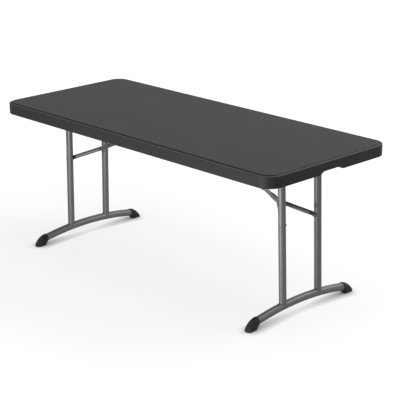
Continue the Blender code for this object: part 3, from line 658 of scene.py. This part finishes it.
for end, half_turn in ends:
    axle_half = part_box(f"{end}_leg_axle")[1].y
    axle = tube(f"{end}_axle", [(0, -axle_half, 0), (0, axle_half, 0)], axle_radius, half_turn @ leg_frame)
    fit(f"{end}_axle", axle, hammered, f"{end}_leg", "grey_steel", f"{end}_leg_axle")
    foot = tube(f"{end}_arched_foot", foot_line(), foot_radius, half_turn @ leg_frame)
    fit(f"{end}_arched_foot", foot, hammered, f"{end}_leg", "grey_steel", f"{end}_foot_tube")
    for side in (-1, 1):
        post_name = f"{end}_{side_word(end, side)}_post"
        post_line = [(0, side * upright_y, height) for height in (upright_head, -foot_centre - foot_drop(upright_y))]
        post = tube(post_name, post_line, upright_radius, half_turn @ leg_frame)
        fit(post_name, post, hammered, f"{end}_leg", "grey_steel", f"{end}_{side_word(end, side)}_upright")
        weld_name = f"{end}_{side_word(end, side)}_weld"
        weld = grown(weld_tree, path_mesh(weld_name, weld_line(side), True),
                     {"Radius": weld_radius, "Ripples": weld_ripples, "Finish": hammered})
        weld.shade_smooth()
        weld.transform(half_turn @ leg_frame)
        fit(weld_name, weld, hammered, f"{end}_leg", "grey_steel")


# Foot caps: black plastic shoes pushed over the ends of the arched feet, with a heel, a flat sole and a blunt nose.
# They sit level on the floor, although the leg frames lean outward a little.
cap_rim, cap_length, cap_heel, cap_cover, cap_sides = 0.281, 0.064, 0.016, 0.002, 40
cap_half_width, cap_play, cap_groove = foot_radius + cap_cover, 0.0006, 0.0007
cap_squareness, cap_sole_depth = 2.4, 1.35
nose_power, nose_slope, side_power, side_slope = 2.2, 0.85, 12.0, 0.5
cap_height = foot_rise - foot_drop(cap_rim) + foot_radius + cap_cover
cap_rim_low = foot_rise - foot_drop(cap_rim) - foot_radius - cap_cover


def cap_middle(place):
    """How far out the middle of the foot is at a place along it."""
    return hinge.x + (hinge.z - foot_rise + foot_drop(place)) * math.tan(splay)


def squared(value, squareness):
    """A sine or cosine drawn out so that a round of squareness 2 nears a rectangle as squareness grows."""
    return math.copysign(abs(value) ** (2 / squareness), value)


def cap_section(place, share, inset):
    """A section of a cap at a share of its length, as points around it."""
    heel_share = min(share * cap_length / cap_heel, 1.0)
    low = cap_rim_low * (1 - heel_share) - min(inset, 0.0) * (1 - heel_share)
    depth = 1.0 + (cap_sole_depth - 1.0) * heel_share
    half_height = (cap_height * (1 - share ** nose_power) ** nose_slope + inset - low) / 2
    half_width = cap_half_width * (1 - share ** side_power) ** side_slope + inset
    ring = []
    for step in range(cap_sides):
        angle = 2 * math.pi * step / cap_sides
        across, up = squared(math.cos(angle), cap_squareness), squared(math.sin(angle), cap_squareness)
        lift = max(half_height * (1 + up * (1.0 if up > 0 else depth)), 0.0)
        ring.append((cap_middle(place) + half_width * across, place, low + lift))
    return ring


def lofted(name, rows, place, sharp_degrees=40.0):
    """A closed skin through rows of points, put in its place."""
    shape = bmesh.new()
    made = [[shape.verts.new(point) for point in row] for row in rows]
    for row, following in zip(made, made[1:]):
        for here in range(len(row)):
            shape.faces.new((row[here - 1], row[here], following[here], following[here - 1]))
    shape.faces.new(made[0])
    shape.faces.new(made[-1])
    mesh = smooth_mesh(name, shape, sharp_degrees)
    mesh.transform(place)
    return mesh


def foot_cap(name, side, turn):
    """A cap from the bottom of its socket over its rim and heel to its nose."""
    rows = []
    for place, radius in ((foot_reach + cap_play, foot_radius + cap_play),
                          (cap_rim + 0.0008, foot_radius + cap_play),
                          (cap_rim + 0.0002, foot_radius + cap_cover / 2)):
        centre = foot_rise - foot_drop(place)
        rows.append([(cap_middle(place) + radius * math.cos(2 * math.pi * step / cap_sides), side * place,
                      centre + radius * math.sin(2 * math.pi * step / cap_sides)) for step in range(cap_sides)])
    groove_end, heel_end, nose_end = 0.079, 0.25, 0.985
    stations = [(0.0, -cap_play), (0.008, 0.0), (0.045, 0.0), (0.056, -cap_groove), (0.068, -cap_groove),
                (groove_end, 0.0)]
    stations += [(groove_end + (heel_end - groove_end) * step / 5, 0.0) for step in range(1, 6)]
    stations += [(heel_end + (nose_end - heel_end) * math.sin(math.radians(angle)), 0.0) for angle in range(8, 89, 8)]
    for share, inset in stations:
        rows.append(cap_section(side * (cap_rim + cap_length * share), share, inset))
    return lofted(name, rows, turn, 50.0)


for end, half_turn in ends:
    for side in (-1, 1):
        cap_name = f"{end}_{side_word(end, side)}_cap"
        fit(cap_name, foot_cap(cap_name, side, half_turn), black_plastic, f"{end}_leg", "black_plastic",
            f"{end}_{side_word(end, side)}_foot_cap")


# Brace arms: short tubes in the same coated steel, pressed flat at both ends and bored for their rivets.
# Two of them lead from the uprights of a leg to the knee, where they hold the strut between them.
folded_pivot = Matrix.Translation(hinge) @ Matrix.Rotation(math.pi / 2, 4, "Y") @ Matrix.Translation(-hinge) @ pivot
open_span, folded_span = (anchor - pivot).length, (anchor - folded_pivot).length
strut_length, fork_length = (open_span + folded_span) / 2, (open_span - folded_span) / 2
brace_tilt = math.atan2(anchor.z - pivot.z, pivot.x - anchor.x)
fork_frame = Matrix.Translation(pivot) @ Matrix.Rotation(math.pi, 4, "Z") @ Matrix.Rotation(-brace_tilt, 4, "Y")
arm_radius, arm_sides, tab_half, tab_height = 0.010, 28, 0.0018, 0.0105
pivot_tab_reach, pivot_tab_end, knee_tab_length, knee_tab_end, press_run = 0.014, 0.0065, 0.030, 0.028, 0.016
tube_squareness, tab_squareness = 2.0, 9.0
pivot_tab_y = upright_y - upright_radius - seat_gap - tab_half
knee_tab_y = 2 * tab_half + seat_gap


def arm_section(along, across, half_width, half_height, heading, squareness):
    """A section of an arm or a strut, as points around it."""
    ring = []
    for step in range(arm_sides):
        angle = 2 * math.pi * step / arm_sides
        reach = squared(math.cos(angle), squareness) * half_width
        up = squared(math.sin(angle), squareness) * half_height
        ring.append((along - reach * math.sin(heading), across + reach * math.cos(heading), up))
    return ring


def tab_end(centre, across, reach, angles):
    """The rounded end of a flat tab about its centre, in degrees from its tip."""
    return [arm_section(centre + reach * math.cos(math.radians(angle)), across, tab_half,
                        tab_height * math.sin(math.radians(angle)), 0.0, tab_squareness) for angle in angles]


def pressing(spans=8):
    """Places along a pressed stretch, from 0 to 1, each with its eased share of the change in section."""
    shares = [step / spans for step in range(spans + 1)]
    return [(share, share * share * (3 - 2 * share)) for share in shares]


def arm(name, side, place):
    """A brace arm: round in the middle, with rounded flat tabs at the pivot and the knee."""
    start, finish = pivot_tab_reach, fork_length - knee_tab_length
    pivot_y, knee_y = side * pivot_tab_y, side * knee_tab_y
    heading = math.atan2(knee_y - pivot_y, finish - start)
    rows = tab_end(0.0, pivot_y, -pivot_tab_end, (10, 25, 42, 60, 78))
    for origin_x, origin_y, run, presses in ((start, pivot_y, press_run, pressing()),
                                             (finish, knee_y, -press_run, pressing()[::-1])):
        for share, soft in presses:
            squareness = tube_squareness + (tab_squareness - tube_squareness) * (1 - soft) ** 2
            rows.append(arm_section(origin_x + run * share * math.cos(heading),
                                    origin_y + run * share * math.sin(heading),
                                    tab_half + (arm_radius - tab_half) * soft,
                                    tab_height + (arm_radius - tab_height) * soft, heading * soft, squareness))
    rows += tab_end(fork_length + knee_tab_end - tab_height, knee_y, tab_height, (90, 70, 48, 28, 10))
    return lofted(name, rows, place)


# A fork's own frame faces the middle of the table, so front and back change sides in it.
for end, half_turn in ends:
    for side in (-1, 1):
        arm_name = f"{end}_{side_word(end, -side)}_arm"
        fit(arm_name, arm(arm_name, side, half_turn @ fork_frame), hammered, f"{end}_fork", "grey_steel",
            f"{end}_{side_word(end, -side)}_brace_arm")


# Struts: one tube for each leg in the same coated steel, pressed flat at the knee, where the arms hold it.
# With the brace straight its upper end rests against the bracket, which keeps the knee from sagging.
strut_radius, strut_head, strut_bore, strut_tail, strut_tab_clearance = 0.0125, 0.0145, 0.05, 0.012, 0.034
strut_frame = Matrix.Translation(anchor) @ Matrix.Rotation(brace_tilt, 4, "Y")


def strut(name, place):
    """A strut from its open upper end to its pressed tab."""
    round_end = strut_length - knee_tab_length - strut_tab_clearance - press_run
    rows = [arm_section(along, 0.0, radius, radius, 0.0, tube_squareness) for along, radius in
            ((strut_bore, strut_radius - tube_wall), (-strut_head, strut_radius - tube_wall),
             (-strut_head, strut_radius))]
    for share, pressed in pressing():
        squareness = tube_squareness + (tab_squareness - tube_squareness) * pressed ** 2
        rows.append(arm_section(round_end + press_run * share, 0.0,
                                strut_radius + (tab_half - strut_radius) * pressed,
                                strut_radius + (tab_height - strut_radius) * pressed, 0.0, squareness))
    rows += tab_end(strut_length + strut_tail - tab_height, 0.0, tab_height, (90, 70, 48, 28, 10))
    return lofted(name, rows, place)


for end, half_turn in ends:
    fit(f"{end}_strut_tube", strut(f"{end}_strut_tube", half_turn @ strut_frame), hammered, f"{end}_strut",
        "grey_steel", f"{end}_brace_strut")


# Rivets and pins: round steel with domed heads, darkened by oil and handling.
# The brace rivets go through the uprights, the knee rivets through the arms' tabs at the strut's pressed end,
# and the pins through the brackets and the struts.
pin_sides, bracket_wall = 28, 0.003
rivet_radius, rivet_head_radius, low_head = 0.004, 0.006, 0.0015
pin_radius, pin_head_radius, full_head = 0.005, 0.008, 0.0025
dark_steel, bench, place = new_finish("oiled_steel")
scuffed = noise(bench, place, 160.0, 5.0, 0.6)
coat(dark_steel, bench, {
    "Base Color": blend_colours(bench, scuffed, (0.060, 0.059, 0.058), (0.150, 0.147, 0.143)),
    "Roughness": 0.34 + 0.24 * scuffed, "Metallic": 0.8, "Normal": bump(bench, scuffed, 0.15, 0.0002)})


def dome(radius, height):
    """A rivet head's profile, from its crown to its rim."""
    return [(share * radius, rise * height) for share, rise in
            ((0.0, 1.0), (0.42, 0.94), (0.70, 0.76), (0.90, 0.46), (1.0, 0.15), (1.0, 0.0))]


def headed_pin(name, shank, head, head_height, grip):
    """A pin with a domed head above 0 and another below its grip."""
    upper = dome(head, head_height)
    lower = [(radius, -grip - height) for radius, height in reversed(upper)]
    return turned(name, upper + [(shank, 0.0), (shank, -grip)] + lower, pin_sides)


def stud(name, shank, head, head_height, length):
    """A pin with one domed head above 0 and a plain end."""
    return turned(name, dome(head, head_height) + [(shank, 0.0), (shank, -length), (0.0, -length)], pin_sides)


pivot_drop = (hinge - pivot).length
rivet_place = upright_y + upright_radius + seat_gap
knee_reach = knee_tab_y + tab_half + seat_gap
anchor_reach = strut_radius + seat_gap + bracket_wall + seat_gap
rivet_shape = headed_pin("brace_rivet", rivet_radius, rivet_head_radius, low_head,
                         2 * upright_radius + 2 * tab_half + 3 * seat_gap)
knee_shape = stud("knee_rivet", rivet_radius, rivet_head_radius, full_head, 2 * tab_half + seat_gap)
anchor_shape = headed_pin("anchor_pin", pin_radius, pin_head_radius, full_head, 2 * anchor_reach)
for end, half_turn in ends:
    rivet_spots = [(Vector((0, side * rivet_place, -pivot_drop)), (0, side, 0)) for side in (-1, 1)]
    rivets = set_out(f"{end}_brace_rivets", rivet_shape, rivet_spots, dark_steel)
    rivets.transform(half_turn @ leg_frame)
    fit(f"{end}_brace_rivets", rivets, dark_steel, f"{end}_leg", "zinc_steel",
        f"{end}_front_brace_rivet", f"{end}_back_brace_rivet")
    knee_spots = [(Vector((fork_length, side * knee_reach, 0)), (0, side, 0)) for side in (-1, 1)]
    studs = set_out(f"{end}_knee_rivets", knee_shape, knee_spots, dark_steel)
    studs.transform(half_turn @ fork_frame)
    fit(f"{end}_knee_rivets", studs, dark_steel, f"{end}_fork", "zinc_steel",
        f"{end}_front_knee_rivet", f"{end}_back_knee_rivet")
    pin = set_out(f"{end}_bracket_pin", anchor_shape, [(Vector((anchor.x, anchor_reach, anchor.z)), (0, 1, 0))],
                  dark_steel)
    pin.transform(half_turn)
    fit(f"{end}_bracket_pin", pin, dark_steel, "table_top", "zinc_steel", f"{end}_anchor_pin")
